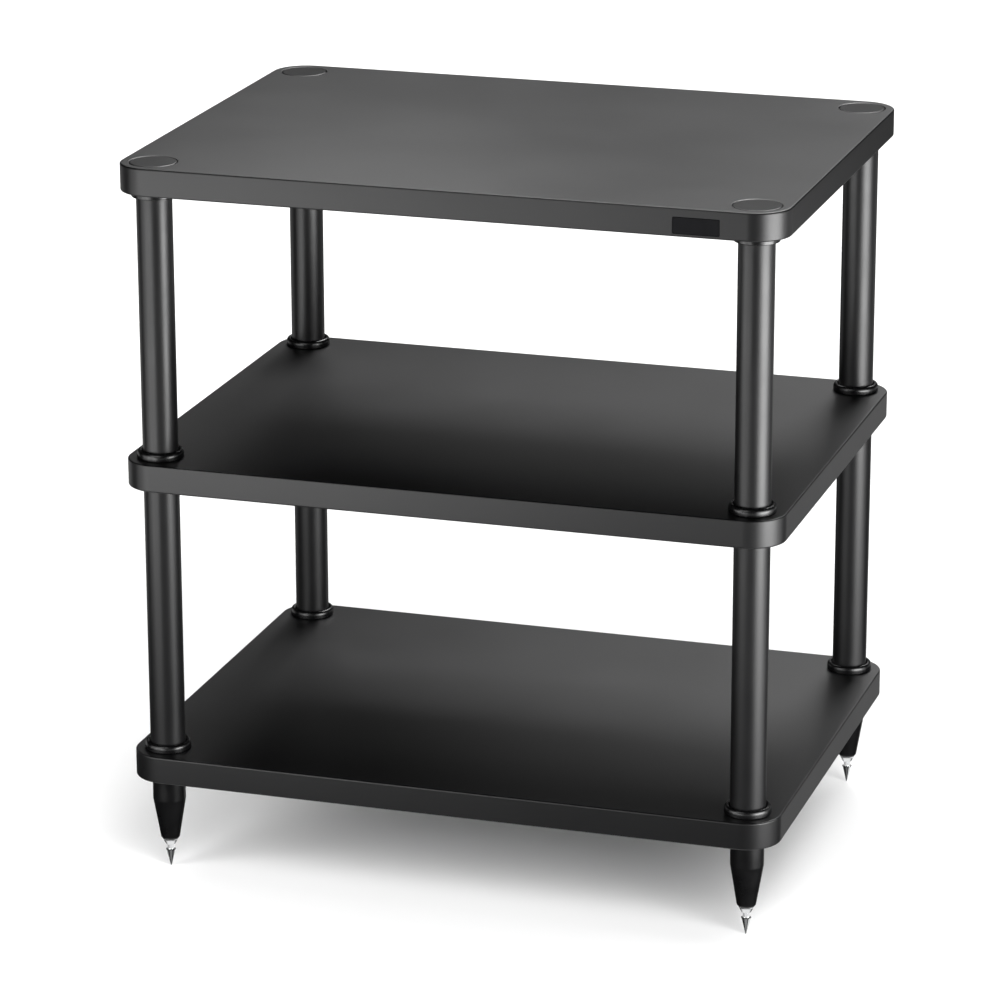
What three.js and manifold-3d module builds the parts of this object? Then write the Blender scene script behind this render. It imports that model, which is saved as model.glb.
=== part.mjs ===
// Three-shelf audio equipment rack. Three lacquered boards are clamped between
// eight steel posts, and the rack stands on four levelling spikes.
// Millimetres, +X to the right, +Y to the back, +Z up, origin on the floor
// below the middle of the rack.

import * as THREE from 'three';
import { mergeVertices } from 'three/addons/utils/BufferGeometryUtils.js';
import Module from 'manifold-3d';

const wasm = await Module();
wasm.setup();

// Shelves.
const shelfWidth = 605;
const shelfDepth = 450;
const shelfThickness = 25;
const shelfCornerRadius = 32;
const shelfArris = 1;

// Posts. Their axes stand one inset in from the edges of the shelves.
const postInset = 30;
const postDiameter = 32;
const postWall = 2;
const postPlugDepth = 20;
const lowerPostLength = 250;
const upperPostLength = 237.5;

// Seat rings round the foot of each post.
const ringBand = 4.7;
const ringHeight = 7.5;
const ringFloor = 2;
const ringFootRound = 1;

// Washers between the heads of the upper posts and the top shelf.
const headWasherOverhang = 4;
const headWasherThickness = 5.5;
const headWasherRound = 0.75;

// Threaded joints.
const studDiameter = 10;
const studReach = 18;
const threadClearance = 0.3;
const boltHoleClearance = 0.5;
const boreRelief = 2;

// Bolts that hold the top shelf down, with the washers under their heads.
const boltHeadDiameter = 16;
const boltHeadHeight = 10;
const boltSocketAcrossFlats = 8;
const boltSocketDepth = 5;
const boltWasherDiameter = 24;
const boltWasherThickness = 2.5;
const counterboreClearance = 1;
const headroom = 0.5;

// Caps that close the corners of the top shelf.
const capDiameter = 42;
const capThickness = 4;
const capClearance = 0.3;
const capArris = 0.5;

// Foot cones.
const coneDiameter = 30;
const coneLength = 63.5;
const coneBarrelLength = 24;
const coneNoseDiameter = 17.5;
const coneNoseRound = 2.25;
const coneArris = 0.5;

// Lock nuts and spikes.
const nutHeight = 5.7;
const nutHeadDiameter = 14.4;
const nutFootDiameter = 9.8;
const nutBrim = 1.2;
const runningGap = 0.3;
const spikeDiameter = 9;
const spikeNeckLength = 5.2;
const spikeNeckDiameter = 6.6;
const spikeShoulder = 0.6;
const spikePointLength = 16;
const spikeFlatDiameter = 1;
const shankDiameter = 8;
const shankReach = 20.5;

// How far a cutting body runs past the face it opens.
const overrun = 1;

// Facets round a full circle for each kind of round piece, on a quarter circle
// of a shelf's corner, on each arris, on a ring's crown and on a cone's nose.
const barrelFacets = 24;
const pointFacets = 16;
const rodFacets = 12;
const cornerFacets = 8;
const arrisFacets = 2;
const ringCrownFacets = 3;
const noseFacets = 2;
const hexagonSides = 6;

// Where each corner stands, as shares of half the span between the posts.
const cornerShares = {
	front_left: [ - 1, - 1 ],
	front_right: [ 1, - 1 ],
	back_left: [ - 1, 1 ],
	back_right: [ 1, 1 ],
};

// Heights above the floor, stacked from the spikes up.
const nutFoot = spikePointLength + spikeNeckLength + runningGap;
const coneFoot = nutFoot + nutHeight + runningGap;
const bottomShelfFoot = coneFoot + coneLength;
const lowerRingFoot = bottomShelfFoot + shelfThickness;
const lowerPostFoot = lowerRingFoot + ringFloor;
const middleShelfFoot = lowerPostFoot + lowerPostLength;
const upperRingFoot = middleShelfFoot + shelfThickness;
const upperPostFoot = upperRingFoot + ringFloor;
const headWasherFoot = upperPostFoot + upperPostLength;
const topShelfFoot = headWasherFoot + headWasherThickness;
const topShelfTop = topShelfFoot + shelfThickness;
const capFoot = topShelfTop - capThickness;
const boltHeadTop = capFoot - headroom;
const boltHeadFoot = boltHeadTop - boltHeadHeight;
const boltWasherFoot = boltHeadFoot - boltWasherThickness;
const boltFoot = headWasherFoot - studReach;

// Radii that several pieces share.
const postRadius = postDiameter / 2;
const studRadius = studDiameter / 2;
const threadBore = studRadius + threadClearance;
const boltHole = studRadius + boltHoleClearance;
const ringBore = postRadius + threadClearance;
const shankRadius = shankDiameter / 2;
const shankBore = shankRadius + runningGap;

// Finishes.
const lacquer = new THREE.MeshStandardMaterial( { color: 0x2b2b2d, roughness: 0.5, metalness: 0 } );
const powderCoat = new THREE.MeshStandardMaterial( { color: 0x343436, roughness: 0.4, metalness: 0.2 } );
const glossPolymer = new THREE.MeshStandardMaterial( { color: 0x0c0c0d, roughness: 0.15, metalness: 0 } );
const capPolymer = new THREE.MeshStandardMaterial( { color: 0x232325, roughness: 0.6, metalness: 0 } );
const blackEnamel = new THREE.MeshStandardMaterial( { color: 0x0a0a0b, roughness: 0.3, metalness: 0.1 } );
const chrome = new THREE.MeshStandardMaterial( { color: 0xd6d8da, roughness: 0.1, metalness: 1 } );
const zincSteel = new THREE.MeshStandardMaterial( { color: 0x9a9da0, roughness: 0.35, metalness: 1 } );

// A closed geometry with shared corners: coincident vertices become one, and
// triangles that shrank to a line on the axis are dropped.
function weld( geometry ) {

	const bare = geometry.clone();
	bare.deleteAttribute( 'normal' );
	bare.deleteAttribute( 'uv' );
	const merged = mergeVertices( bare );
	const corners = merged.index.array;
	const kept = [];
	for ( let i = 0; i < corners.length; i += 3 ) {

		const [ a, b, c ] = [ corners[ i ], corners[ i + 1 ], corners[ i + 2 ] ];
		if ( a !== b && b !== c && c !== a ) kept.push( a, b, c );

	}

	merged.setIndex( kept );
	return merged;

}

// Turns a profile of [ radius, height ] points round the Z axis.
function revolve( profile, facets ) {

	const points = profile.map( ( [ radius, height ] ) => new THREE.Vector2( radius, height ) );
	return weld( new THREE.LatheGeometry( points, facets ).rotateX( Math.PI / 2 ) );

}

// A round bar between two heights.
function bar( radius, foot, top, facets ) {

	return revolve( [ [ 0, foot ], [ radius, foot ], [ radius, top ], [ 0, top ] ], facets );

}

// Between a geometry and a solid that can be cut.
function toSolid( geometry ) {

	const vertProperties = new Float32Array( geometry.attributes.position.array );
	const triVerts = new Uint32Array( geometry.index.array );
	return new wasm.Manifold( new wasm.Mesh( { numProp: 3, vertProperties, triVerts } ) );

}

function toGeometry( solid ) {

	const mesh = solid.getMesh();
	const geometry = new THREE.BufferGeometry();
	geometry.setAttribute( 'position', new THREE.BufferAttribute( new Float32Array( mesh.vertProperties ), 3 ) );
	geometry.setIndex( new THREE.BufferAttribute( new Uint32Array( mesh.triVerts ), 1 ) );
	return geometry;

}

// The body with each of the tools cut out of it.
function cut( body, tools ) {

	let solid = toSolid( body );
	for ( const tool of tools ) solid = solid.subtract( toSolid( tool ) );
	return toGeometry( solid );

}

// Points on a quarter circle or more, from one angle to another.
function arc( centreRadius, centreHeight, radius, from, to, steps ) {

	const points = [];
	for ( let i = 0; i <= steps; i ++ ) {

		const angle = from + ( to - from ) * i / steps;
		points.push( [ centreRadius + radius * Math.cos( angle ), centreHeight + radius * Math.sin( angle ) ] );

	}

	return points;

}

// The distance from the middle of the rack to the axis of a post.
function cornerPlace( [ alongWidth, alongDepth ] ) {

	const halfSpanX = shelfWidth / 2 - postInset;
	const halfSpanY = shelfDepth / 2 - postInset;
	return [ alongWidth * halfSpanX, alongDepth * halfSpanY ];

}

// Outline of a shelf, with its rounded corners.
function shelfOutline() {

	const right = shelfWidth / 2;
	const back = shelfDepth / 2;
	const radius = shelfCornerRadius;
	const quarter = Math.PI / 2;
	const outline = new THREE.Shape();
	outline.absarc( right - radius, - back + radius, radius, - quarter, 0, false );
	outline.absarc( right - radius, back - radius, radius, 0, quarter, false );
	outline.absarc( - right + radius, back - radius, radius, quarter, 2 * quarter, false );
	outline.absarc( - right + radius, - back + radius, radius, 2 * quarter, 3 * quarter, false );
	outline.closePath();
	return outline;

}

// A board with a rounded arris along its top and bottom edges.
function board() {

	const geometry = new THREE.ExtrudeGeometry( shelfOutline(), {
		depth: shelfThickness - 2 * shelfArris,
		bevelThickness: shelfArris,
		bevelSize: shelfArris,
		bevelOffset: - shelfArris,
		bevelSegments: arrisFacets,
		curveSegments: cornerFacets / 2,
	} );
	return weld( geometry.translate( 0, 0, shelfArris ) );

}

// Cuts the same holes through a board under each corner place.
function drilledBoard( holes ) {

	const tools = [];
	for ( const shares of Object.values( cornerShares ) ) {

		const [ x, y ] = cornerPlace( shares );
		for ( const hole of holes ) tools.push( hole.clone().translate( x, y, 0 ) );

	}

	return cut( board(), tools );

}

// The middle and bottom shelves have a plain hole for each stud.
function studHole() {

	return bar( boltHole, - overrun, shelfThickness + overrun, rodFacets );

}

// The top shelf also has a recess for each cap and a deep seat for the bolt.
function boltSeat() {

	const radius = boltWasherDiameter / 2 + counterboreClearance;
	const foot = boltWasherFoot - topShelfFoot;
	return bar( radius, foot, shelfThickness + overrun, barrelFacets );

}

function capRecess() {

	const radius = capDiameter / 2 + capClearance;
	return bar( radius, shelfThickness - capThickness, shelfThickness + overrun, barrelFacets );

}

// A steel tube closed at both ends by a welded plug with a threaded bore.
function post( length ) {

	const tubeBore = postRadius - postWall;
	return revolve( [
		[ threadBore, 0 ],
		[ postRadius, 0 ],
		[ postRadius, length ],
		[ threadBore, length ],
		[ threadBore, length - postPlugDepth ],
		[ tubeBore, length - postPlugDepth ],
		[ tubeBore, postPlugDepth ],
		[ threadBore, postPlugDepth ],
		[ threadBore, 0 ],
	], barrelFacets );

}

// A ring with a round crown, whose thin floor lies under the post.
function seatRing() {

	const crownRadius = ringBand / 2;
	const crownHeight = ringHeight - crownRadius;
	const outer = ringBore + ringBand;
	return revolve( [
		[ boltHole, 0 ],
		[ outer - ringFootRound, 0 ],
		[ outer, ringFootRound ],
		...arc( ringBore + crownRadius, crownHeight, crownRadius, 0, Math.PI, ringCrownFacets ),
		[ ringBore, ringFloor ],
		[ boltHole, ringFloor ],
		[ boltHole, 0 ],
	], barrelFacets );

}

function headWasher() {

	const outer = postRadius + headWasherOverhang;
	return revolve( [
		[ boltHole, 0 ],
		[ outer - headWasherRound, 0 ],
		[ outer, headWasherRound ],
		[ outer, headWasherThickness ],
		[ boltHole, headWasherThickness ],
		[ boltHole, 0 ],
	], barrelFacets );

}

function cornerCap() {

	const outer = capDiameter / 2;
	return revolve( [
		[ 0, 0 ],
		[ outer, 0 ],
		[ outer, capThickness - capArris ],
		[ outer - capArris, capThickness ],
		[ 0, capThickness ],
	], barrelFacets );

}

// A socket head bolt, with the end of its shank at zero.
function capBolt() {

	const shankLength = boltHeadFoot - boltFoot;
	const length = shankLength + boltHeadHeight;
	const headRadius = boltHeadDiameter / 2;
	const body = revolve( [
		[ 0, 0 ],
		[ studRadius, 0 ],
		[ studRadius, shankLength ],
		[ headRadius, shankLength ],
		[ headRadius, length ],
		[ 0, length ],
	], rodFacets );
	const hexagonRadius = boltSocketAcrossFlats / 2 / Math.cos( Math.PI / hexagonSides );
	const socket = bar( hexagonRadius, length - boltSocketDepth, length + overrun, hexagonSides );
	return cut( body, [ socket ] );

}

function boltWasher() {

	const outer = boltWasherDiameter / 2;
	return revolve( [
		[ boltHole, 0 ],
		[ outer, 0 ],
		[ outer, boltWasherThickness ],
		[ boltHole, boltWasherThickness ],
		[ boltHole, 0 ],
	], rodFacets );

}

// A stud that reaches from the plug or cone below a shelf to the plug above it.
function stud() {

	const length = studReach + shelfThickness + ringFloor + studReach;
	return bar( studRadius, 0, length, rodFacets );

}

// A foot: a straight barrel, a long taper and a blunt round nose, bored from
// below for the spike and from above for the stud.
function footCone() {

	const outer = coneDiameter / 2;
	const nose = coneNoseDiameter / 2;
	const quarter = Math.PI / 2;
	return revolve( [
		[ 0, shankReach + boreRelief ],
		[ shankBore, shankReach + boreRelief ],
		[ shankBore, 0 ],
		...arc( nose - coneNoseRound, coneNoseRound, coneNoseRound, - quarter, 0, noseFacets ),
		[ outer, coneLength - coneBarrelLength ],
		[ outer, coneLength - coneArris ],
		[ outer - coneArris, coneLength ],
		[ threadBore, coneLength ],
		[ threadBore, coneLength - studReach - boreRelief ],
		[ 0, coneLength - studReach - boreRelief ],
	], barrelFacets );

}

// A conical nut with a short straight brim under the nose of the cone.
function lockNut() {

	const head = nutHeadDiameter / 2;
	return revolve( [
		[ shankBore, 0 ],
		[ nutFootDiameter / 2, 0 ],
		[ head, nutHeight - nutBrim ],
		[ head, nutHeight ],
		[ shankBore, nutHeight ],
		[ shankBore, 0 ],
	], pointFacets );

}

// A turned point, a waisted neck and a threaded shank.
function spike() {

	const neck = spikeNeckDiameter / 2;
	const shankFoot = spikePointLength + spikeNeckLength;
	const shankTop = coneFoot + shankReach;
	return revolve( [
		[ 0, 0 ],
		[ spikeFlatDiameter / 2, 0 ],
		[ spikeDiameter / 2, spikePointLength ],
		[ neck, spikePointLength + spikeShoulder ],
		[ neck, shankFoot ],
		[ shankRadius, shankFoot ],
		[ shankRadius, shankTop ],
		[ 0, shankTop ],
	], pointFacets );

}

// One named mesh, raised to its height.
function piece( name, geometry, material, height ) {

	const mesh = new THREE.Mesh( geometry, material );
	mesh.name = name;
	mesh.position.z = height;
	return mesh;

}

const rack = new THREE.Group();

const plainBoard = drilledBoard( [ studHole() ] );
const topBoard = drilledBoard( [ studHole(), boltSeat(), capRecess() ] );
rack.add( piece( 'shelf_bottom', plainBoard, lacquer, bottomShelfFoot ) );
rack.add( piece( 'shelf_middle', plainBoard, lacquer, middleShelfFoot ) );
rack.add( piece( 'shelf_top', topBoard, lacquer, topShelfFoot ) );

// What stands on one corner, from the floor up: name, shape, finish and height.
const cornerPieces = [
	[ 'spike', spike(), chrome, 0 ],
	[ 'lock_nut', lockNut(), chrome, nutFoot ],
	[ 'foot_cone', footCone(), blackEnamel, coneFoot ],
	[ 'lower_stud', stud(), zincSteel, bottomShelfFoot - studReach ],
	[ 'lower_ring', seatRing(), glossPolymer, lowerRingFoot ],
	[ 'lower_post', post( lowerPostLength ), powderCoat, lowerPostFoot ],
	[ 'middle_stud', stud(), zincSteel, middleShelfFoot - studReach ],
	[ 'upper_ring', seatRing(), glossPolymer, upperRingFoot ],
	[ 'upper_post', post( upperPostLength ), powderCoat, upperPostFoot ],
	[ 'head_washer', headWasher(), glossPolymer, headWasherFoot ],
	[ 'bolt_washer', boltWasher(), zincSteel, boltWasherFoot ],
	[ 'cap_bolt', capBolt(), zincSteel, boltFoot ],
	[ 'corner_cap', cornerCap(), capPolymer, capFoot ],
];

for ( const [ corner, shares ] of Object.entries( cornerShares ) ) {

	const column = new THREE.Group();
	const [ x, y ] = cornerPlace( shares );
	column.position.set( x, y, 0 );
	for ( const [ name, geometry, material, height ] of cornerPieces ) {

		column.add( piece( `${ name }_${ corner }`, geometry, material, height ) );

	}

	rack.add( column );

}

export default rack;
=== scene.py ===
"""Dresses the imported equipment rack.

Turned, lacquered, coated and plated pieces stand in for the plain CAD nodes that show.
The studs, which nothing uncovers, keep their CAD solids under a zinc finish.
"""

import logging
import math
from collections.abc import Callable, Iterable, Iterator
from contextlib import contextmanager
from dataclasses import dataclass, field
from enum import Enum
from itertools import pairwise

import bmesh
import bpy
from mathutils import Matrix, Vector


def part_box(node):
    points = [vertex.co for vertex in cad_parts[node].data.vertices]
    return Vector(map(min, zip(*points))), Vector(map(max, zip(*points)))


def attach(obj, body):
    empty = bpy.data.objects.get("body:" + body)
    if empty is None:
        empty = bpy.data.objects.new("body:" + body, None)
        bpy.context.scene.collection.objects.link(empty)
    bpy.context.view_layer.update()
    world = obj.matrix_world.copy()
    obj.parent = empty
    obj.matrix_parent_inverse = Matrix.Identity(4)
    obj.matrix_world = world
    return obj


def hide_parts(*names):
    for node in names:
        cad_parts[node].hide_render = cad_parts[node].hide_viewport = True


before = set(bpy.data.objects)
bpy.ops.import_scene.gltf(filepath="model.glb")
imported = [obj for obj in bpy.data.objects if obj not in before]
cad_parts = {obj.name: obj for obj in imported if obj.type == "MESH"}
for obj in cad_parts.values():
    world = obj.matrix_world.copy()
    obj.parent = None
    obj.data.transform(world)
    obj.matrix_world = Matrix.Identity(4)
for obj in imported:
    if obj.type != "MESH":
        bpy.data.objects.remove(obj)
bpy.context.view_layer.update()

log = logging.getLogger("rack")

MM = 0.001
MERGE = 0.001 * MM
NOISE_LOW, NOISE_HIGH = 0.3, 0.7
SIDES = 96
SHARP_DEG = 32.0

Piece = bpy.types.Object
Material = bpy.types.Material
Socket = bpy.types.NodeSocket
Tree = bpy.types.NodeTree
Group = bpy.types.Collection
Span = tuple[float, float]
Profile = list[Span]
Place = tuple[float, float, float]


class Corner(Enum):
    """The four corners of the rack, as the CAD names them."""

    FRONT_LEFT = "front_left"
    FRONT_RIGHT = "front_right"
    BACK_LEFT = "back_left"
    BACK_RIGHT = "back_right"


class Blank(Enum):
    """What a turned piece is drawn from: a full disc, or an open hoop that meets itself again."""

    DISC = "NGON"
    HOOP = "NOTHING"


class Part(Enum):
    """The kind of element that a step in edit mode works on."""

    POINT = "VERT"
    EDGE = "EDGE"
    FACE = "FACE"


# ---- bench work


def deselect_all() -> None:
    """Leave nothing selected, the CAD nodes included."""
    bpy.ops.object.select_all(action="DESELECT")


def pick(piece: Piece) -> None:
    """Make one piece the only selected one, and active.

    Args:
        piece: The piece.
    """
    deselect_all()
    piece.select_set(True)
    bpy.context.view_layer.objects.active = piece


@contextmanager
def editing(piece: Piece, part: Part) -> Iterator[None]:
    """Hold a piece open in edit mode, all of it selected at first.

    Args:
        piece: The piece to edit.
        part: The kind of element to select.
    """
    pick(piece)
    bpy.ops.object.mode_set(mode="EDIT")
    bpy.ops.mesh.select_mode(type=part.value)
    bpy.ops.mesh.select_all(action="SELECT")
    try:
        yield
    finally:
        bpy.ops.object.mode_set(mode="OBJECT")


def middle_of(element: bmesh.types.BMVert | bmesh.types.BMEdge | bmesh.types.BMFace) -> Vector:
    """The middle of a vertex, an edge or a face."""
    points = [element] if isinstance(element, bmesh.types.BMVert) else element.verts
    return sum((point.co for point in points), Vector()) / len(points)


def select_where(piece: Piece, part: Part, test: Callable[[Vector], bool]) -> None:
    """Select the elements whose middle passes a test, and nothing else, in edit mode.

    Args:
        piece: The piece that is open.
        part: The kind of element.
        test: Says whether an element with this middle is wanted.
    """
    bpy.ops.mesh.select_all(action="DESELECT")
    mesh = bmesh.from_edit_mesh(piece.data)
    elements = {Part.POINT: mesh.verts, Part.EDGE: mesh.edges, Part.FACE: mesh.faces}[part]
    for element in elements:
        if test(middle_of(element)):
            element.select_set(True)
    mesh.select_flush_mode()
    bmesh.update_edit_mesh(piece.data)


def started(name: str) -> Piece:
    """Name the primitive just added, and put its place into its mesh.

    Args:
        name: Its name.

    Returns:
        The piece that it starts.
    """
    piece = bpy.context.object
    piece.name = piece.data.name = name
    bpy.ops.object.transform_apply(location=True, rotation=True, scale=True)
    return piece


def close_up(piece: Piece) -> None:
    """Merge a piece's doubled points and turn its faces outward.

    Args:
        piece: The piece.
    """
    with editing(piece, Part.POINT):
        bpy.ops.mesh.remove_doubles(threshold=MERGE)
        bpy.ops.mesh.normals_make_consistent(inside=False)


def shade(piece: Piece) -> None:
    """Shade a piece smooth across its rounds and flat across its faces.

    Args:
        piece: The piece.
    """
    pick(piece)
    bpy.ops.object.shade_smooth_by_angle(angle=math.radians(SHARP_DEG))
    weights = piece.modifiers.new("weights", "WEIGHTED_NORMAL")
    weights.keep_sharp = True
    bpy.ops.object.modifier_apply(modifier=weights.name)


def arc(centre: Span, radius: float, start_deg: float, end_deg: float, steps: int) -> Profile:
    """Points of a round in a turned profile.

    Args:
        centre: The round's middle, as distance from the axis and height.
        radius: The round's radius.
        start_deg: Where it starts, from the outward direction.
        end_deg: Where it ends.
        steps: How many straight steps it takes.

    Returns:
        The points, both ends among them.
    """
    angles = (math.radians(start_deg + (end_deg - start_deg) * i / steps) for i in range(steps + 1))
    return [(centre[0] + radius * math.cos(a), centre[1] + radius * math.sin(a)) for a in angles]


def turned(name: str, profile: Profile, blank: Blank, sides: int = SIDES) -> Piece:
    """Turn a piece round the Z axis: a disc or hoop is drawn and scaled from ring to ring.

    Args:
        name: The piece's name.
        profile: Radius and height of each ring, from one end of the profile to the other.
        blank: Whether the profile starts on a disc, or on a hoop that it comes back to.
        sides: How many sides the round has.

    Returns:
        The closed piece, with its axis on the origin.
    """
    radius, height = profile[0]
    deselect_all()
    bpy.ops.mesh.primitive_circle_add(
        vertices=sides, radius=radius, fill_type=blank.value, location=(0.0, 0.0, height)
    )
    piece = started(name)
    with editing(piece, Part.FACE if blank is Blank.DISC else Part.EDGE):
        for (radius, height), (next_radius, next_height) in pairwise(profile):
            rise, share, top = next_height - height, next_radius / radius, (0.0, 0.0, next_height)
            bpy.ops.mesh.extrude_region_move(TRANSFORM_OT_translate={"value": (0.0, 0.0, rise)})
            bpy.ops.transform.resize(value=(share, share, 1.0), center_override=top)
    close_up(piece)
    return piece


def sawn(
    name: str, place: Place, size: Span, tip_deg: float, corner: float, steps: int, grow: Place
) -> Piece:
    """Saw a slab with round corners.

    Args:
        name: The slab's name.
        place: The middle of its first face.
        size: That face's width and length.
        tip_deg: How far the face is tipped up from lying flat, about the X axis.
        corner: The corners' radius.
        steps: How many straight steps each corner takes.
        grow: How far and which way the face is drawn out.

    Returns:
        The closed slab, with its edges still sharp.
    """
    deselect_all()
    tip = (math.radians(tip_deg), 0.0, 0.0)
    bpy.ops.mesh.primitive_plane_add(size=1.0, location=place, rotation=tip)
    bpy.context.object.scale = (*size, 1.0)
    piece = started(name)
    with editing(piece, Part.POINT):
        bpy.ops.mesh.bevel(offset=corner, segments=steps, affect="VERTICES")
        bpy.ops.mesh.select_mode(type=Part.FACE.value)
        bpy.ops.mesh.select_all(action="SELECT")
        bpy.ops.mesh.extrude_region_move(TRANSFORM_OT_translate={"value": grow})
    close_up(piece)
    return piece


def moved(piece: Piece, place: Vector) -> Piece:
    """Move a piece, and put the move into its mesh.

    Args:
        piece: The piece, at the origin.
        place: Where its origin goes.

    Returns:
        The same piece.
    """
    pick(piece)
    piece.location = place
    bpy.ops.object.transform_apply(location=True, rotation=False, scale=False)
    return piece


def copied(master: Piece, name: str, place: Vector) -> Piece:
    """Copy a finished master, with a mesh of its own, to its place.

    Args:
        master: The piece to copy, at the origin.
        name: The copy's name.
        place: Where the master's origin goes.

    Returns:
        The copy, with its place in its mesh.
    """
    pick(master)
    bpy.ops.object.duplicate(linked=False)
    piece = bpy.context.object
    piece.name = piece.data.name = name
    return moved(piece, place)


def combine(piece: Piece, tool: Piece, operation: str) -> None:
    """Cut a piece with a tool, or weld the tool to it, and throw the tool away.

    Args:
        piece: The piece to work on.
        tool: A closed piece that is used up.
        operation: DIFFERENCE or UNION.
    """
    step = piece.modifiers.new("step", "BOOLEAN")
    step.operation, step.solver, step.object = operation, "EXACT", tool
    pick(piece)
    bpy.ops.object.modifier_apply(modifier=step.name)
    bpy.data.objects.remove(tool)


def middle(node: str) -> Vector:
    """The middle of a CAD node's box."""
    low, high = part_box(node)
    return (low + high) / 2


def foot(node: str) -> Vector:
    """The point on a CAD node's own axis at its lowest height."""
    low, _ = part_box(node)
    return Vector((*middle(node).xy, low.z))


def height(node: str) -> float:
    """How tall a CAD node is."""
    low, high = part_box(node)
    return high.z - low.z


# ---- finishes


def linear(code: str) -> tuple[float, float, float, float]:
    """Turn an sRGB hex colour to the linear one that shaders read.

    Args:
        code: The colour, as #rrggbb.

    Returns:
        Red, green, blue and a full alpha.
    """
    shares = (int(code[i : i + 2], 16) / 255 for i in (1, 3, 5))
    channels = [s / 12.92 if s <= 0.04045 else ((s + 0.055) / 1.055) ** 2.4 for s in shares]
    return (*channels, 1.0)


def repeats(size_mm: float) -> float:
    """How many repeats of a pattern of this size go into a metre, as texture scales ask."""
    return 1.0 / (size_mm * MM)


def add_node(
    tree: Tree, kind: str, inputs: dict[str | int, object] | None = None, **settings: object
) -> bpy.types.Node:
    """Add a node, with its settings, its constants and its links.

    Args:
        tree: The node tree.
        kind: The node's type.
        inputs: Value or source socket for each input, by name or number.
        **settings: Properties of the node itself.

    Returns:
        The new node.
    """
    node = tree.nodes.new(kind)
    for key, value in settings.items():
        setattr(node, key, value)
    for key, value in (inputs or {}).items():
        if isinstance(value, Socket):
            tree.links.new(value, node.inputs[key])
        else:
            node.inputs[key].default_value = value
    return node


@dataclass(frozen=True)
class Finish:
    """What every finish has: two close shades and a gloss that drift, and a fine relief.

    A new finish names its sizes in real millimetres, and says what it gives the eye.
    """

    name: str
    shade: str
    other_shade: str
    rough: Span
    drift_mm: float
    grain_mm: float
    relief_mm: float
    ior: float = 1.5
    metallic: float = 0.0
    stretch: Place = (1.0, 1.0, 1.0)

    def relief(self, tree: Tree, place: Socket) -> Socket:
        """The height of the fine relief; here a soft grain of one size.

        Args:
            tree: The material's node tree.
            place: Object coordinates, stretched as the finish says.

        Returns:
            The socket that carries the height, from 0 to 1.
        """
        fine = {"Vector": place, "Scale": repeats(self.grain_mm), "Detail": 2.0}
        return add_node(tree, "ShaderNodeTexNoise", fine).outputs["Fac"]

    def material(self) -> Material:
        """Make the finish's material, with procedural colour, gloss and relief.

        Returns:
            The material.
        """
        made = bpy.data.materials.new(self.name)
        made.use_nodes = True
        tree = made.node_tree
        tree.nodes.clear()
        object_place = add_node(tree, "ShaderNodeTexCoord").outputs["Object"]
        stretched = {"Vector": object_place, "Scale": self.stretch}
        place = add_node(tree, "ShaderNodeMapping", stretched).outputs["Vector"]
        slow = {"Vector": object_place, "Scale": repeats(self.drift_mm), "Detail": 3.0}
        drift = add_node(tree, "ShaderNodeTexNoise", slow).outputs["Fac"]
        shades = {0: drift, 6: linear(self.shade), 7: linear(self.other_shade)}
        tone = add_node(tree, "ShaderNodeMix", shades, data_type="RGBA").outputs[2]
        smooth, rough = self.rough
        ends = {"From Min": NOISE_LOW, "From Max": NOISE_HIGH, "To Min": smooth, "To Max": rough}
        gloss = add_node(tree, "ShaderNodeMapRange", {"Value": drift} | ends).outputs["Result"]
        raised = {"Height": self.relief(tree, place), "Distance": self.relief_mm * MM}
        bump = add_node(tree, "ShaderNodeBump", raised).outputs["Normal"]
        coat = {"Base Color": tone, "Roughness": gloss, "Normal": bump}
        coat |= {"Metallic": self.metallic, "IOR": self.ior}
        shader = add_node(tree, "ShaderNodeBsdfPrincipled", coat)
        add_node(tree, "ShaderNodeOutputMaterial", {"Surface": shader.outputs["BSDF"]})
        return made


@dataclass(frozen=True)
class SatinLacquer(Finish):
    """Satin black lacquer, sprayed on fibreboard.

    Its faint orange peel, 2 to 3 mm across, softens reflections into a broad sheen.
    """

    name: str = "satin_lacquer"
    shade: str = "#0c0c0d"
    other_shade: str = "#0f0f10"
    rough: Span = (0.35, 0.37)
    drift_mm: float = 90.0
    grain_mm: float = 2.6
    relief_mm: float = 0.003


@dataclass(frozen=True)
class PowderCoat(Finish):
    """Fine satin black powder coat, baked on steel tube.

    Its 0.3 mm grain is drawn at 0.9 mm, near one pixel, so that it shows as a light tooth.
    """

    name: str = "powder_coat"
    shade: str = "#0e0e0f"
    other_shade: str = "#121213"
    rough: Span = (0.33, 0.38)
    drift_mm: float = 45.0
    grain_mm: float = 0.9
    relief_mm: float = 0.002

    def relief(self, tree: Tree, place: Socket) -> Socket:
        """The height of rounded grains that lie side by side, as melted powder does."""
        fine = {"Vector": place, "Scale": repeats(self.grain_mm), "Smoothness": 1.0}
        return add_node(tree, "ShaderNodeTexVoronoi", fine, feature="SMOOTH_F1").outputs["Distance"]


@dataclass(frozen=True)
class GlossMoulding(Finish):
    """Gloss black ABS, moulded in a polished tool.

    It mirrors the lights as soft bright bands, with the slow 8 mm waves of a cooled moulding.
    """

    name: str = "gloss_moulding"
    shade: str = "#050506"
    other_shade: str = "#070708"
    rough: Span = (0.24, 0.29)
    drift_mm: float = 20.0
    grain_mm: float = 8.0
    relief_mm: float = 0.006
    ior: float = 1.53


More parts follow.
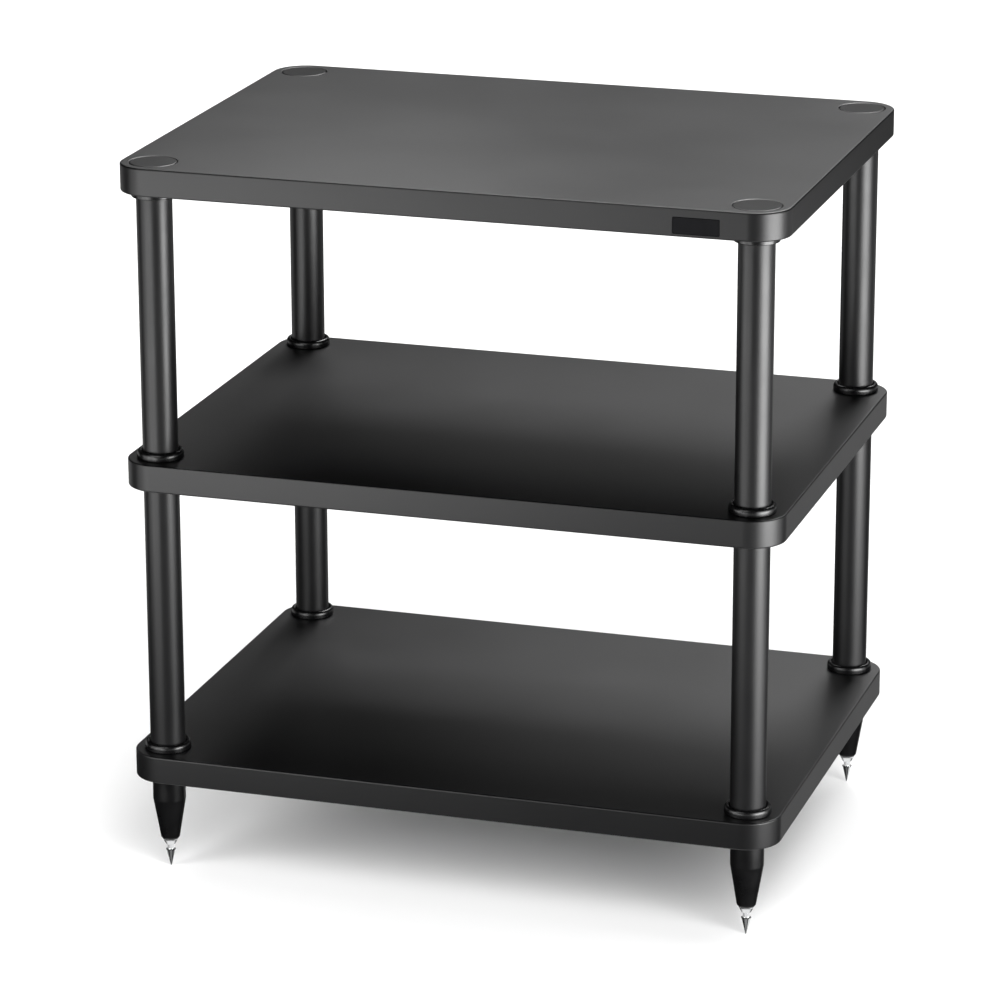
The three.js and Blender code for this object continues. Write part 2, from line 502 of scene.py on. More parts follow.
@dataclass(frozen=True)
class GrainedMoulding(Finish):
    """Satin black ABS, moulded in a finely grained tool.

    Its 0.5 mm grain is drawn at 1.1 mm; the caps look a little darker than the lacquer round them.
    """

    name: str = "grained_moulding"
    shade: str = "#0b0b0c"
    other_shade: str = "#0e0e0f"
    rough: Span = (0.29, 0.31)
    drift_mm: float = 15.0
    grain_mm: float = 1.1
    relief_mm: float = 0.005
    ior: float = 1.53


@dataclass(frozen=True)
class BlackEnamel(Finish):
    """Black enamel, dipped on turned steel.

    It pools smooth and deep, with turning rings 1.5 mm apart that barely print through.
    """

    name: str = "black_enamel"
    shade: str = "#060607"
    other_shade: str = "#09090a"
    rough: Span = (0.26, 0.34)
    drift_mm: float = 18.0
    grain_mm: float = 1.5
    relief_mm: float = 0.004
    stretch: Place = (0.05, 0.05, 1.0)


@dataclass(frozen=True)
class BrightChrome(Finish):
    """Bright chrome plate on turned steel.

    A mirror with fine turning rings, 0.1 mm apart, that are drawn at 0.5 mm so that they show.
    """

    name: str = "bright_chrome"
    shade: str = "#dcddde"
    other_shade: str = "#e6e7e8"
    rough: Span = (0.05, 0.11)
    drift_mm: float = 6.0
    grain_mm: float = 0.5
    relief_mm: float = 0.002
    metallic: float = 1.0
    stretch: Place = (0.02, 0.02, 1.0)


@dataclass(frozen=True)
class ZincPlate(Finish):
    """Clear zinc plate on rolled steel.

    A grey, slightly blue metal with a soft gleam and a spangle of 3 mm.
    """

    name: str = "zinc_plate"
    shade: str = "#b4b8bd"
    other_shade: str = "#c4c7ca"
    rough: Span = (0.28, 0.40)
    drift_mm: float = 3.0
    grain_mm: float = 0.8
    relief_mm: float = 0.006
    metallic: float = 1.0


@dataclass(frozen=True)
class BlackAnodised(Finish):
    """Aluminium sheet, anodised and dyed black.

    A dark metal that mirrors little, with the slight dishing of a thin sheet, 12 mm across.
    """

    name: str = "black_anodised"
    shade: str = "#0e0e0f"
    other_shade: str = "#131314"
    rough: Span = (0.18, 0.24)
    drift_mm: float = 12.0
    grain_mm: float = 12.0
    relief_mm: float = 0.01
    metallic: float = 1.0


@dataclass(frozen=True)
class StudioPaint(Finish):
    """Matt white paint on the studio floor, rolled on, with a stipple of 3 mm."""

    name: str = "studio_paint"
    shade: str = "#f4f4f4"
    other_shade: str = "#f8f8f8"
    rough: Span = (0.85, 0.95)
    drift_mm: float = 400.0
    grain_mm: float = 3.0
    relief_mm: float = 0.01


# ---- the rack


@dataclass
class Assembly:
    """A sub-assembly that builds and dresses its pieces."""

    pieces: list[Piece] = field(default_factory=list, init=False)

    def dress(
        self, piece: Piece, material: Material, slot: str, body: str, node: str | None
    ) -> None:
        """Give a piece its finish and tie it to the frame.

        Args:
            piece: The finished piece.
            material: Its material.
            slot: The record's material slot for its finish; not used.
            body: The CAD body that it rides on.
            node: The CAD node that it stands for, if it stands for one.
        """
        piece.data.materials.clear()
        piece.data.materials.append(material)
        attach(piece, body)
        if node is not None:
            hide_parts(node)
        self.pieces.append(piece)

    def fit_corners(
        self, master: Piece, name: str, kind: str, material: Material, slot: str, alone: bool = False
    ) -> None:
        """Shade a master, copy it to the four corners, dress the copies and throw the master away.

        Args:
            master: The piece to copy, at the origin.
            name: The copies' name, before the corner's.
            kind: The name of the CAD nodes that they stand for, before the corner's.
            material: Their material.
            slot: Their material slot in the record.
            alone: Whether each rides on its CAD node's own body, and not on the rack's.
        """
        shade(master)
        for corner in Corner:
            node = f"{kind}_{corner.value}"
            piece = copied(master, f"{name}_{corner.value}", foot(node))
            self.dress(piece, material, slot, node if alone else "rack", node)
        bpy.data.objects.remove(master)

    def report(self) -> None:
        """Take no step: nothing is logged."""


@dataclass
class EdgePlate(Assembly):
    """A small bare plate, let in flush with the front edge of the top board."""

    material: Material
    centre_x: float = 227 * MM
    drop: float = 15 * MM
    width: float = 41 * MM
    tall: float = 14.5 * MM
    thick: float = 1.2 * MM
    corner: float = 0.8 * MM
    corner_steps: int = 4
    edge: float = 0.3 * MM
    edge_steps: int = 3
    play: float = 0.25 * MM

    def blank(self, name: str, margin: float, reach: float) -> Piece:
        """Saw a slab that stands upright in the board's front edge, as deep as the plate is thick.

        Args:
            name: The slab's name.
            margin: How much larger it is all round than the plate.
            reach: How far its face lies in front of the board.

        Returns:
            The slab, with its edges still sharp.
        """
        low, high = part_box("shelf_top")
        place = (self.centre_x, low.y + self.thick, high.z - self.drop)
        size = (self.width + 2 * margin, self.tall + 2 * margin)
        grow = (0.0, -self.thick - reach, 0.0)
        return sawn(name, place, size, 90.0, self.corner + margin, self.corner_steps, grow)

    def pocket(self) -> Piece:
        """The cutter for the plate's pocket in the board."""
        return self.blank("pocket", self.play, self.thick)

    def build(self) -> None:
        """Cut the plate, round its face edges and dress it."""
        low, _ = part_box("shelf_top")
        piece = self.blank("blank_plate", 0.0, 0.0)
        with editing(piece, Part.EDGE):
            select_where(piece, Part.EDGE, lambda at: abs(at.y - low.y) < MERGE)
            bpy.ops.mesh.bevel(offset=self.edge, segments=self.edge_steps, affect="EDGES")
        close_up(piece)
        shade(piece)
        self.dress(piece, self.material, "gloss_polymer", "rack", None)


@dataclass
class Shelves(Assembly):
    """Three lacquered boards with round corners, bored at each corner."""

    material: Material
    plate: EdgePlate
    corner_radius: float = 32 * MM
    corner_steps: int = 14
    arris: float = 1.5 * MM
    arris_steps: int = 5
    bore_radius: float = 5.5 * MM
    seat_radius: float = 13 * MM
    seat_depth: float = 17 * MM
    recess_radius: float = 21.3 * MM
    recess_depth: float = 4 * MM
    recess_arris: float = 1 * MM
    overrun: float = 2 * MM

    def board(self, name: str, node: str) -> Piece:
        """Saw one board to its outline and round its corners and arrises.

        Args:
            name: The board's name.
            node: The CAD node that it stands for.

        Returns:
            The board, not bored yet.
        """
        low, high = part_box(node)
        size, thick = (high.x - low.x, high.y - low.y), high.z - low.z
        place, grow = (0.0, 0.0, low.z), (0.0, 0.0, thick)
        piece = sawn(name, place, size, 0.0, self.corner_radius, self.corner_steps, grow)
        with editing(piece, Part.EDGE):
            centre = (high.z + low.z) / 2
            select_where(piece, Part.EDGE, lambda at: abs(abs(at.z - centre) - thick / 2) < MERGE)
            bpy.ops.mesh.bevel(offset=self.arris, segments=self.arris_steps, affect="EDGES")
        close_up(piece)
        return piece

    def bore(self, low: float, high: float) -> Piece:
        """A plain drill that goes right through a board."""
        ends = [(self.bore_radius, low - self.overrun), (self.bore_radius, high + self.overrun)]
        return turned("drill", ends, Blank.DISC)

    def stepped_bore(self, low: float, high: float) -> Piece:
        """A stepped drill for the top board: stud hole, washer seat and flared cap recess.

        Args:
            low: The board's underside.
            high: The board's top.

        Returns:
            The drill, on the origin's axis.
        """
        seat, recess = high - self.seat_depth, high - self.recess_depth
        flare = self.recess_arris
        profile = [
            (self.bore_radius, low - self.overrun),
            (self.bore_radius, seat),
            (self.seat_radius, seat),
            (self.seat_radius, recess),
            (self.recess_radius, recess),
            (self.recess_radius, high - flare),
            (self.recess_radius + flare / 3, high - flare / 3),
            (self.recess_radius + flare, high),
            (self.recess_radius + flare, high + self.overrun),
        ]
        return turned("drill", profile, Blank.DISC)

    def build(self) -> None:
        """Make the three boards, bore them and dress them."""
        for level in ("bottom", "middle", "top"):
            node = f"shelf_{level}"
            low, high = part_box(node)
            piece = self.board(f"board_{level}", node)
            bore = self.stepped_bore if level == "top" else self.bore
            for corner in Corner:
                axis = middle(f"upper_post_{corner.value}")
                drill = moved(bore(low.z, high.z), Vector((axis.x, axis.y, 0.0)))
                combine(piece, drill, "DIFFERENCE")
            if level == "top":
                combine(piece, self.plate.pocket(), "DIFFERENCE")
            shade(piece)
            self.dress(piece, self.material, "board_lacquer", "rack", node)


@dataclass
class Posts(Assembly):
    """Eight coated tubes between the boards, each closed by plugs with a threaded bore."""

    material: Material
    radius: float = 16 * MM
    edge: float = 0.6 * MM
    bore_radius: float = 5.3 * MM
    plug_depth: float = 20 * MM

    def profile(self, length: float) -> Profile:
        """The outline of a post, from the end of its lower bore to the end of its upper one.

        Args:
            length: The post's length.

        Returns:
            The outline, for a full disc.
        """
        return [
            (self.bore_radius, self.plug_depth),
            (self.bore_radius, 0.0),
            *arc((self.radius - self.edge, self.edge), self.edge, -90.0, 0.0, 3),
            *arc((self.radius - self.edge, length - self.edge), self.edge, 0.0, 90.0, 3),
            (self.bore_radius, length),
            (self.bore_radius, length - self.plug_depth),
        ]

    def build(self) -> None:
        """Turn one post of each length and copy it to the four corners."""
        for level in ("lower", "upper"):
            kind = f"{level}_post"
            post = turned("post_master", self.profile(height(f"{kind}_front_left")), Blank.DISC)
            self.fit_corners(post, f"{level}_tube", kind, self.material, "post_coat")


@dataclass
class Collars(Assembly):
    """Gloss rings that the posts stand in, and thin gloss discs on their heads."""

    material: Material
    bolt_hole: float = 5.5 * MM
    post_hole: float = 16.3 * MM
    band: float = 4.7 * MM
    ring_height: float = 7.5 * MM
    floor: float = 2 * MM
    foot_round: float = 1 * MM
    shoulder_drop: float = 4 * MM
    disc_radius: float = 20 * MM
    disc_height: float = 5.5 * MM
    disc_round: float = 0.75 * MM
    bore_edge: float = 0.3 * MM

    def ring_profile(self) -> Profile:
        """The section of a seat ring: thin floor, round foot and a bead with a long shoulder.

        Returns:
            The section, for an open hoop.
        """
        crown = self.band / 2
        outer = self.post_hole + self.band
        steep, base = self.shoulder_drop / crown, self.ring_height - self.shoulder_drop
        shoulder = arc((outer - crown, 0.0), crown, 0.0, 90.0, 10)
        return [
            (self.bolt_hole, 0.0),
            *arc((outer - self.foot_round, self.foot_round), self.foot_round, -90.0, 0.0, 4),
            *((radius, base + steep * rise) for radius, rise in shoulder),
            *arc((outer - crown, self.ring_height - crown), crown, 100.0, 180.0, 7),
            (self.post_hole, self.floor),
            (self.bolt_hole, self.floor),
            (self.bolt_hole, 0.0),
        ]

    def disc_profile(self) -> Profile:
        """The section of a head disc: flat, with its lower outer edge rounded.

        Returns:
            The section, for an open hoop.
        """
        soft, fine = self.disc_round, self.bore_edge
        return [
            (self.bolt_hole, 0.0),
            *arc((self.disc_radius - soft, soft), soft, -90.0, 0.0, 8),
            *arc((self.disc_radius - fine, self.disc_height - fine), fine, 0.0, 90.0, 2),
            (self.bolt_hole, self.disc_height),
            (self.bolt_hole, 0.0),
        ]

    def build(self) -> None:
        """Turn the rings and discs, and copy them to every post."""
        kinds = (
            ("lower_collar", "lower_ring", self.ring_profile()),
            ("upper_collar", "upper_ring", self.ring_profile()),
            ("head_disc", "head_washer", self.disc_profile()),
        )
        for name, kind, profile in kinds:
            master = turned("collar_master", profile, Blank.HOOP)
            self.fit_corners(master, name, kind, self.material, "gloss_polymer")


@dataclass
class CornerFixings(Assembly):
    """Flush caps, and the socket screws and washers that show when the caps are out."""

    plastic: Material
    steel: Material
    cap_radius: float = 21 * MM
    cap_height: float = 4 * MM
    cap_edge: float = 0.5 * MM
    cap_round: float = 1 * MM
    shank_radius: float = 5 * MM
    head_radius: float = 8 * MM
    head_height: float = 10 * MM
    head_edge: float = 1 * MM
    wall_share: float = 0.99
    knurl_top: float = 8.2 * MM
    knurl_margin: float = 0.08 * MM
    knurl_depth_share: float = 0.97
    socket_radius: float = 4 / math.cos(math.pi / 6) * MM
    socket_depth: float = 5 * MM
    socket_edge: float = 0.5 * MM
    washer_radius: float = 12 * MM
    washer_bore: float = 5.5 * MM
    washer_height: float = 2.5 * MM
    washer_edge: float = 0.4 * MM

    def cap(self) -> Piece:
        """Turn a cap, with its upper edge rounded and its lower one just broken.

        Returns:
            The cap, on the origin.
        """
        soft = self.cap_round
        profile = [
            (self.cap_radius - self.cap_edge, 0.0),
            (self.cap_radius, self.cap_edge),
            *arc((self.cap_radius - soft, self.cap_height - soft), soft, 0.0, 90.0, 5),
        ]
        return turned("cap_master", profile, Blank.DISC)

    def screw(self, length: float) -> Piece:
        """Turn a socket screw, knurl its head and sink its hexagon.

        Args:
            length: From the tip to the top of the head.

        Returns:
            The screw, tip down on the origin.
        """
        seat, edge = length - self.head_height, self.head_edge
        knurl_top = seat + self.knurl_top
        outline = [
            (self.shank_radius - edge, 0.0),
            (self.shank_radius, edge),
            (self.shank_radius, seat),
            (self.head_radius - edge / 2, seat),
            (self.head_radius, seat + edge / 2),
            (self.head_radius, knurl_top),
            *arc((self.head_radius - edge, length - edge), edge, 0.0, 90.0, 4),
        ]
        piece = turned("screw_master", outline, Blank.DISC)
        wall, turn = self.head_radius * self.wall_share, 2 * math.pi / (SIDES / 2)

        def in_groove(at: Vector) -> bool:
            """Whether a face of the head's wall lies in one of the grooves between ribs."""
            outside = seat + edge / 2 < at.z < knurl_top and math.hypot(at.x, at.y) > wall
            return outside and (math.atan2(at.y, at.x) % turn) < turn / 2

        with editing(piece, Part.FACE):
            select_where(piece, Part.FACE, in_groove)
            bpy.ops.mesh.inset(thickness=self.knurl_margin, use_individual=True)
            share = self.knurl_depth_share
            bpy.ops.transform.resize(value=(share, share, 1.0), center_override=(0.0, 0.0, seat))
        flare = self.socket_edge
        key = [
            (self.socket_radius, length - self.socket_depth),
            (self.socket_radius, length - flare),
            (self.socket_radius + flare, length + flare / 3),
            (self.socket_radius + flare, length + flare),
        ]
        combine(piece, turned("bit", key, Blank.DISC, sides=6), "DIFFERENCE")
        return piece

    def washer(self) -> Piece:
        """Turn a plain washer with broken edges.

        Returns:
            The washer, on the origin.
        """
        edge, tall = self.washer_edge, self.washer_height
        profile = [
            (self.washer_bore, edge),
            (self.washer_bore + edge, 0.0),
            (self.washer_radius - edge, 0.0),
            (self.washer_radius, edge),
            (self.washer_radius, tall - edge),
            (self.washer_radius - edge, tall),
            (self.washer_bore + edge, tall),
            (self.washer_bore, tall - edge),
            (self.washer_bore, edge),
        ]
        return turned("washer_master", profile, Blank.HOOP)

    def build(self) -> None:
        """Make a cap, a screw and a washer, and copy them to the corners."""
        cap, screw = self.cap(), self.screw(height("cap_bolt_front_left"))
        self.fit_corners(cap, "flush_cap", "corner_cap", self.plastic, "cap_polymer", alone=True)
        self.fit_corners(screw, "socket_screw", "cap_bolt", self.steel, "zinc_steel")
        self.fit_corners(self.washer(), "plain_washer", "bolt_washer", self.steel, "zinc_steel")


@dataclass
class Feet(Assembly):
    """Enamelled cones under the bottom board, each with a chromed lock nut and floor spike."""

    enamel: Material
    chrome: Material
    cone_radius: float = 15 * MM
    cone_height: float = 63.5 * MM
    barrel: float = 24 * MM
    nose_radius: float = 8.75 * MM
    nose_round: float = 2.25 * MM
    cone_edge: float = 0.5 * MM
    hip_blend: float = 1.2 * MM
    hip_low_share: float = 0.3
    hip_near_share: float = 0.4
    mouth_edge: float = 0.4 * MM
    shank_bore: float = 4.3 * MM
    shank_bore_depth: float = 22.5 * MM
    stud_bore: float = 5.3 * MM
    stud_bore_depth: float = 20 * MM
    nut_head: float = 7.2 * MM
    nut_foot: float = 4.9 * MM
    nut_height: float = 5.7 * MM
    nut_brim: float = 1.2 * MM
    nut_edge: float = 0.25 * MM
    point_tip: float = 0.5 * MM
    tip_share: float = 0.6
    tip_height: float = 0.15 * MM
    point_radius: float = 4.5 * MM
    point_length: float = 16 * MM
    point_edge: float = 0.2 * MM
    neck_radius: float = 3.2 * MM
    neck_sweep: float = 0.8 * MM
    neck_length: float = 5.2 * MM
    thread_radius: float = 4 * MM
    thread_root: float = 3.3 * MM
    thread_bite: float = 0.3 * MM
    thread_pitch: float = 1.25 * MM
    thread_sides: int = 32
    ridge_foot_share: float = 0.94
    crest_share: float = 0.14

    def cone(self) -> Piece:
        """Turn a foot cone: shank bore, round nose, taper, barrel and stud bore.

        Returns:
            The cone, nose down on the origin.
        """
        nose, outer, edge = self.nose_round, self.cone_radius, self.cone_edge
        hip = self.cone_height - self.barrel
        blend, near = self.hip_blend, self.hip_blend * self.hip_near_share
        fall = blend * (outer - self.nose_radius) / (hip - nose)
        profile = [
            (self.shank_bore, self.shank_bore_depth),
            (self.shank_bore, self.mouth_edge),
            (self.shank_bore + self.mouth_edge, 0.0),
            *arc((self.nose_radius - nose, nose), nose, -90.0, 0.0, 8),
            (outer - fall, hip - blend),
            (outer - fall * self.hip_low_share, hip - near),
            (outer, hip + near),
            *arc((outer - edge, self.cone_height - edge), edge, 0.0, 90.0, 3),
            (self.stud_bore, self.cone_height),
            (self.stud_bore, self.cone_height - self.stud_bore_depth),
        ]
        return turned("cone_master", profile, Blank.DISC)

    def nut(self) -> Piece:
        """Turn a lock nut: a cone that widens upward to a short straight brim.

        Returns:
            The nut, on the origin.
        """
        edge, brim = self.nut_edge, self.nut_height - self.nut_brim
        profile = [
            (self.shank_bore, 0.0),
            (self.nut_foot - edge, 0.0),
            (self.nut_foot, edge),
            (self.nut_head, brim),
            (self.nut_head, self.nut_height - edge),
            (self.nut_head - edge, self.nut_height),
            (self.shank_bore, self.nut_height),
            (self.shank_bore, 0.0),
        ]
        return turned("nut_master", profile, Blank.HOOP)

    def ridge(self, low: float, high: float) -> Piece:
        """Wind the ridge of a thread with a Screw modifier, and stop it at both ends.

        Args:
            low: Height where it starts.
            high: Height that it stays below.

        Returns:
            The closed ridge, which reaches a little way into the shank's core.
        """
        pitch = self.thread_pitch
        inner = self.thread_root - self.thread_bite
        middle_radius, base = (self.thread_radius + inner) / 2, self.ridge_foot_share * pitch
        deselect_all()
        place, tip = (middle_radius, 0.0, low + base / 2), (math.radians(90.0), 0.0, 0.0)
        bpy.ops.mesh.primitive_plane_add(size=1.0, location=place, rotation=tip)
        bpy.context.object.scale = (self.thread_radius - inner, base, 1.0)
        piece = started("ridge")
        with editing(piece, Part.POINT):
            select_where(piece, Part.POINT, lambda at: at.x > middle_radius)
            bpy.ops.transform.resize(
                value=(1.0, 1.0, self.crest_share), center_override=(0.0, 0.0, low + base / 2)
            )
        wound = piece.modifiers.new("wound", "SCREW")
        wound.axis, wound.screw_offset, wound.angle = "Z", pitch, math.radians(360.0)
        wound.steps = wound.render_steps = self.thread_sides
        wound.iterations = math.floor((high - low) / pitch) - 1
        pick(piece)
        bpy.ops.object.modifier_apply(modifier=wound.name)
        with editing(piece, Part.POINT):
            bpy.ops.mesh.fill_holes(sides=4)
        close_up(piece)
        return piece

    def point(self, length: float) -> Piece:
        """Turn a floor spike with a hollow-swept neck, and weld its threaded shank on.

        Args:
            length: From the tip to the top of the shank.

        Returns:
            The spike, tip down on the origin.
        """
        edge, sweep, shank = self.point_edge, self.neck_sweep, self.point_length + self.neck_length
        chamfer = self.thread_radius - self.thread_root
        neck = (self.neck_radius + sweep, self.point_length + edge + sweep)
        outline = [
            (self.point_tip * self.tip_share, 0.0),
            (self.point_tip, self.tip_height),
            (self.point_radius - edge / 4, self.point_length - edge),
            (self.point_radius, self.point_length),
            (self.point_radius - edge, self.point_length + edge),
            *arc(neck, sweep, -90.0, -180.0, 6),
            (self.neck_radius, shank),
            (self.thread_root, shank + edge),
            (self.thread_root, length - chamfer),
            (self.thread_root - chamfer, length),
        ]
        piece = turned("point_master", outline, Blank.DISC)
        combine(piece, self.ridge(shank, length), "UNION")
        close_up(piece)
        return piece

    def build(self) -> None:
        """Make a cone, a nut and a spike, and copy them to the corners."""
        spike = self.point(height("spike_front_left"))
        self.fit_corners(self.cone(), "levelling_cone", "foot_cone", self.enamel, "foot_enamel")
        self.fit_corners(self.nut(), "cone_nut", "lock_nut", self.chrome, "chrome", alone=True)
        self.fit_corners(spike, "floor_point", "spike", self.chrome, "chrome", alone=True)


@dataclass
class HiddenStuds(Assembly):
    """The studs, which nothing uncovers: CAD solids under a zinc finish."""

    steel: Material

    def build(self) -> None:
        """Give each CAD stud its finish."""
        for level in ("lower", "middle"):
            for corner in Corner:
                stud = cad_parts[f"{level}_stud_{corner.value}"]
                for slot in stud.material_slots:
                    slot.material = self.steel
                self.pieces.append(stud)


# ---- the studio


def hang_lamp(lamp: bpy.types.Light, place: Vector, aim: Vector, subjects: Group) -> None:
    """Hang a lamp in the studio, out of the camera's sight.

    Args:
        lamp: The lamp.
        place: Where it hangs.
        aim: What it points at.
        subjects: What it may shine on.
    """
    holder = bpy.data.objects.new(lamp.name, lamp)
    bpy.context.scene.collection.objects.link(holder)
    holder.location = place
    holder.rotation_euler = (aim - place).to_track_quat("-Z", "Y").to_euler()
    holder.visible_camera = False
    holder.light_linking.receiver_collection = subjects


@dataclass(frozen=True)
class Wash:
    """A distant light for the floor alone, which goes white round the rack's own soft shadow."""

    name: str
    azimuth_deg: float
    elevation_deg: float
    spread_deg: float
    level: float
    distance: float = 3.0

    def hang(self, subjects: Group) -> None:
        """Put the light up.

        Args:
            subjects: What it may shine on.
        """
        azimuth, elevation = math.radians(self.azimuth_deg), math.radians(self.elevation_deg)
        lamp = bpy.data.lights.new(self.name, "SUN")
        lamp.angle = math.radians(self.spread_deg)
        lamp.energy = self.level * math.pi / math.sin(elevation)
        out = math.cos(elevation)
        toward = Vector((out * math.cos(azimuth), out * math.sin(azimuth), math.sin(elevation)))
        hang_lamp(lamp, self.distance * toward, Vector(), subjects)


@dataclass(frozen=True)
class Bank:
    """A soft light at an angle from the camera's, seen from above, and aimed at the rack's axis."""

    name: str
    turn_deg: float
    reach: float
    height: float
    aim_height: float
    width: float
    tall: float
    radiance: float

    def hang(self, azimuth_deg: float, subjects: Group) -> None:
        """Put the light up.

        Args:
            azimuth_deg: How far the camera stands to the right of the rack's front.
            subjects: What it may shine on.
        """
        lamp = bpy.data.lights.new(self.name, "AREA")
        lamp.shape, lamp.size, lamp.size_y = "RECTANGLE", self.width, self.tall
        lamp.energy = self.radiance * math.pi * self.width * self.tall
        angle = math.radians(azimuth_deg - 90.0 + self.turn_deg)
        place = Vector((self.reach * math.cos(angle), self.reach * math.sin(angle), self.height))
        hang_lamp(lamp, place, Vector((0.0, 0.0, self.aim_height)), subjects)


@dataclass
class Studio:
    """Pale floor, soft lights, a plain dome and the camera at the photograph's angle."""

    paint: Material
    floor_half: float = 40.0
    floor_squares: int = 8
    focal_px: float = 4458.92
    frame_px: float = 1000.0
    sensor_mm: float = 36.0
    sight: Span = (0.05, 200.0)
    camera_place: Place = (1.15837, -3.73866, 1.56141)
    azimuth_deg: float = 17.44
    elevation_deg: float = 17.62
    roll_deg: float = -0.11
    dome_stops: tuple[Span, ...] = ((0.0, 1.0), (0.06, 1.0), (0.13, 0.02), (1.0, 0.02))
    banks: tuple[Bank, ...] = (
        Bank("overhead", 0.0, 0.0, 1.7, 0.5, 0.6, 0.4, 6.0),
        Bank("right_near_high", 43.0, 1.25, 0.5, 0.5, 0.88, 0.4, 3.7),
        Bank("right_near_low", 43.0, 1.25, 0.1, 0.1, 0.88, 0.4, 4.4),
        Bank("right_bank_high", 55.0, 1.5, 0.3, 0.3, 1.0, 0.4, 11.4),
        Bank("right_bank_low", 55.0, 1.5, -0.1, -0.1, 1.0, 0.4, 3.0),
        Bank("right_inner", 35.0, 1.5, 0.3, 0.3, 0.4, 0.4, 2.9),
        Bank("right_wing", 80.0, 1.4, 0.1, 0.1, 0.6, 0.8, 1.4),
        Bank("left_near_high", -50.0, 1.25, 0.5, 0.5, 0.5, 0.4, 3.3),
        Bank("left_near_low", -47.0, 1.25, 0.1, 0.1, 0.8, 0.4, 2.7),
        Bank("left_inner", -28.0, 1.25, 0.5, 0.5, 0.46, 0.4, 0.3),
        Bank("left_bank", -30.0, 2.2, 0.1, 0.1, 0.78, 0.4, 4.2),
        Bank("left_wing", -70.0, 1.2, 0.3, 0.3, 0.6, 0.6, 1.7),
        Bank("left_back", -128.0, 1.6, 0.05, 0.05, 1.0, 0.6, 0.5),
        Bank("front_fill", 0.0, 1.25, 0.1, 0.1, 0.9, 0.4, 0.63),
        Bank("front_high", -35.0, 1.25, 1.05, 0.4, 1.0, 0.5, 2.2),
        Bank("side_middle", 118.0, 2.2, 0.2, 0.2, 1.5, 0.6, 0.4),
        Bank("side_low", 145.0, 2.2, -0.55, -0.55, 0.8, 1.1, 0.48),
        Bank("back_low", 170.0, 2.2, 0.4, 0.4, 0.9, 0.7, 0.41),
        Bank("back_window", 190.0, 1.25, 1.4, 0.5, 0.44, 0.4, 1.4),
        Bank("back_window_high", 190.0, 1.25, 1.8, 0.5, 0.44, 0.4, 4.8),
        Bank("back_far_low", 160.0, 6.55, 5.0, 0.35, 2.6, 1.4, 6.9),
        Bank("back_far_middle", 160.0, 5.15, 6.5, 0.35, 2.0, 2.8, 23.5),
        Bank("back_far_left", 180.0, 5.15, 6.5, 0.35, 2.0, 2.8, 4.7),
    )
    cards: tuple[Bank, ...] = (
        Bank("card_front", 0.0, 2.2, -0.9, -0.9, 4.4, 1.4, 0.9),
        Bank("card_right", 90.0, 2.2, -1.2, -1.2, 4.4, 2.0, 1.0),
        Bank("card_back", 180.0, 2.2, -1.4, -1.4, 4.4, 2.4, 1.0),
        Bank("card_left", -90.0, 2.2, -0.9, -0.9, 4.4, 1.4, 0.5),
    )
    washes: tuple[Wash, ...] = (
        Wash("wash_front_right", -48.0, 37.0, 44.0, 0.53),
        Wash("wash_front_left", -131.0, 29.0, 38.0, 0.32),
        Wash("wash_front_low", -84.0, 16.5, 27.0, 0.09),
        Wash("wash_left", -182.0, 25.0, 45.0, 0.11),
        Wash("wash_back", 89.0, 35.5, 49.0, 0.28),
        Wash("wash_high", 32.0, 70.5, 29.0, 0.27),
    )

    def floor(self) -> Piece:
        """Lay the floor. Only the camera sees it, and the dome's lower part stands for its bounce.

        Returns:
            The floor.
        """
        deselect_all()
        cuts, size = self.floor_squares, 2 * self.floor_half
        bpy.ops.mesh.primitive_grid_add(x_subdivisions=cuts, y_subdivisions=cuts, size=size)
        floor = started("studio_floor")
        floor.data.materials.append(self.paint)
        floor.visible_diffuse = floor.visible_glossy = floor.visible_transmission = False
        floor.visible_shadow = False
        return floor

    def subjects(self, name: str, floor: Piece, state: str) -> Group:
        """Say what a group of lights may shine on.

        Args:
            name: The collection's name.
            floor: The floor.
            state: INCLUDE for the floor alone, EXCLUDE for all but the floor.

        Returns:
            The collection to link the lights to.
        """
        group = bpy.data.collections.new(name)
        group.objects.link(floor)
        group.collection_objects[0].light_linking.link_state = state
        return group

    def dome(self) -> None:
        """Light the room by a dome that changes with height alone, and show the camera white."""
        world = bpy.data.worlds.new("studio_dome")
        bpy.context.scene.world = world
        world.use_nodes = True
        tree = world.node_tree
        tree.nodes.clear()
        direction = add_node(tree, "ShaderNodeTexCoord").outputs["Generated"]
        upward = add_node(tree, "ShaderNodeSeparateXYZ", {"Vector": direction}).outputs["Z"]
        span = {"Value": upward, "From Min": -1.0, "From Max": 1.0}
        share = add_node(tree, "ShaderNodeMapRange", span).outputs["Result"]
        ramp = add_node(tree, "ShaderNodeValToRGB", {"Fac": share})
        band = ramp.color_ramp
        for position, _ in self.dome_stops[1:-1]:
            band.elements.new(position)
        for element, (_, value) in zip(band.elements, self.dome_stops):
            element.color = (value, value, value, 1.0)
        dome = add_node(tree, "ShaderNodeBackground", {"Color": ramp.outputs["Color"]})
        white = add_node(tree, "ShaderNodeBackground", {"Color": (1.0, 1.0, 1.0, 1.0)})
        seen = add_node(tree, "ShaderNodeLightPath").outputs["Is Camera Ray"]
        both = {0: seen, 1: dome.outputs["Background"], 2: white.outputs["Background"]}
        mixed = add_node(tree, "ShaderNodeMixShader", both)
        add_node(tree, "ShaderNodeOutputWorld", {"Surface": mixed.outputs["Shader"]})

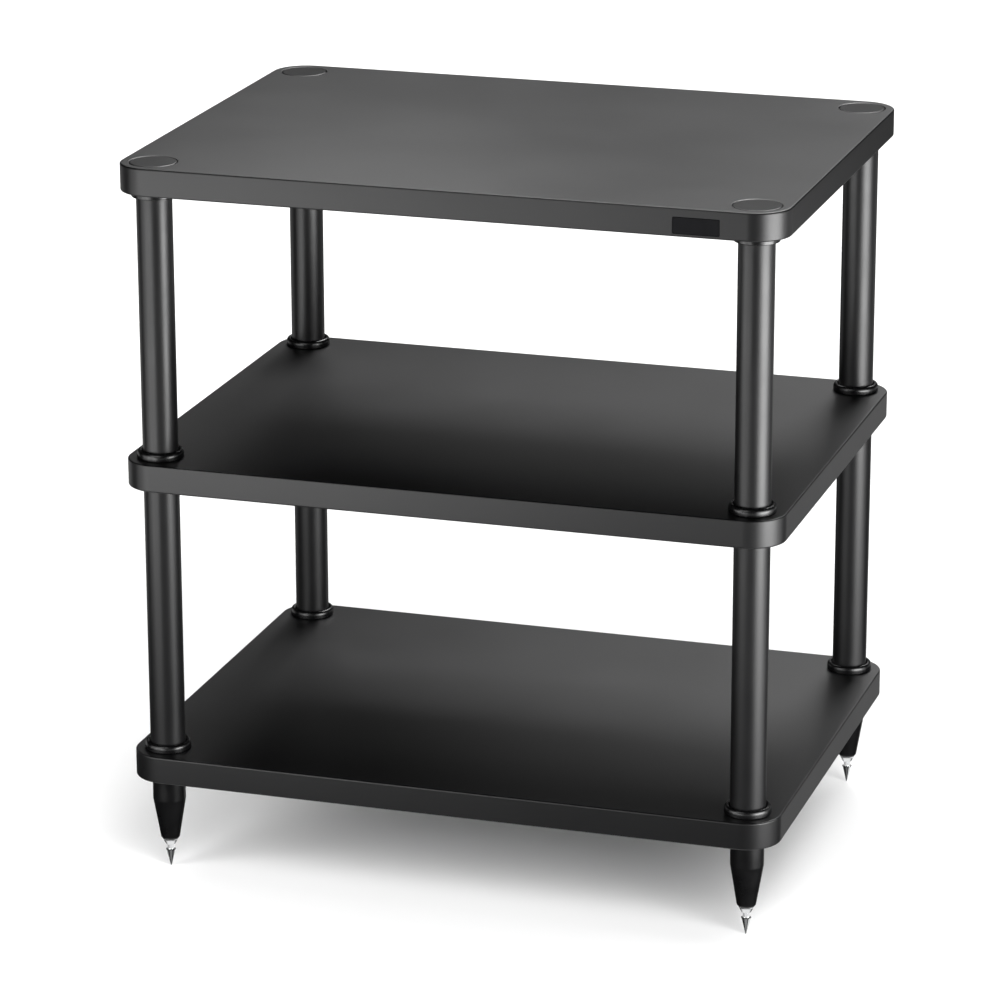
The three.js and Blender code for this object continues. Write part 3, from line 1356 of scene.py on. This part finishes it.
    def camera(self) -> None:
        """Set the camera where the fit to the photograph puts it."""
        turn, dip = math.radians(self.azimuth_deg), math.radians(self.elevation_deg)
        roll, flat = math.radians(self.roll_deg), math.cos(dip)
        forward = Vector((-math.sin(turn) * flat, math.cos(turn) * flat, -math.sin(dip)))
        level = Vector((math.cos(turn), math.sin(turn), 0.0))
        upright = level.cross(forward)
        right = level * math.cos(roll) + upright * math.sin(roll)
        up = upright * math.cos(roll) - level * math.sin(roll)
        lens = bpy.data.cameras.new("camera")
        lens.sensor_width = self.sensor_mm
        lens.lens = self.focal_px / self.frame_px * self.sensor_mm
        lens.clip_start, lens.clip_end = self.sight
        holder = bpy.data.objects.new("camera", lens)
        bpy.context.scene.collection.objects.link(holder)
        facing = Matrix((right, up, -forward)).transposed().to_4x4()
        holder.matrix_world = Matrix.Translation(self.camera_place) @ facing
        bpy.context.scene.camera = holder

    def build(self) -> None:
        """Set up the whole studio."""
        self.camera()
        floor = self.floor()
        self.dome()
        rack_only = self.subjects("all_but_the_floor", floor, "EXCLUDE")
        for bank in self.banks:
            bank.hang(self.azimuth_deg, rack_only)
        floor_only = self.subjects("the_floor_alone", floor, "INCLUDE")
        for wash in self.washes:
            wash.hang(floor_only)
        bpy.context.scene.view_settings.view_transform = "Standard"

    def lift_chrome(self, bright: Iterable[Piece]) -> None:
        """Stand low white cards round the rack, for the white floor that chrome would mirror.

        Args:
            bright: The chromed pieces, which alone see the cards.
        """
        chrome_only = bpy.data.collections.new("the_chrome_alone")
        for piece in bright:
            chrome_only.objects.link(piece)
        for card in self.cards:
            card.hang(self.azimuth_deg, chrome_only)


def main() -> None:
    """Set up the studio, then build each sub-assembly and call its empty report."""
    logging.basicConfig(level=logging.INFO, format="%(name)s: %(message)s")
    studio = Studio(StudioPaint().material())
    studio.build()
    zinc, chrome = ZincPlate().material(), BrightChrome().material()
    plate = EdgePlate(BlackAnodised().material())
    assemblies = (
        Shelves(SatinLacquer().material(), plate),
        plate,
        Posts(PowderCoat().material()),
        Collars(GlossMoulding().material()),
        CornerFixings(GrainedMoulding().material(), zinc),
        Feet(BlackEnamel().material(), chrome),
        HiddenStuds(zinc),
    )
    for assembly in assemblies:
        assembly.build()
        assembly.report()
    pieces = (piece for assembly in assemblies for piece in assembly.pieces)
    studio.lift_chrome(piece for piece in pieces if piece.data.materials[0] == chrome)


if __name__ == "__main__":
    main()
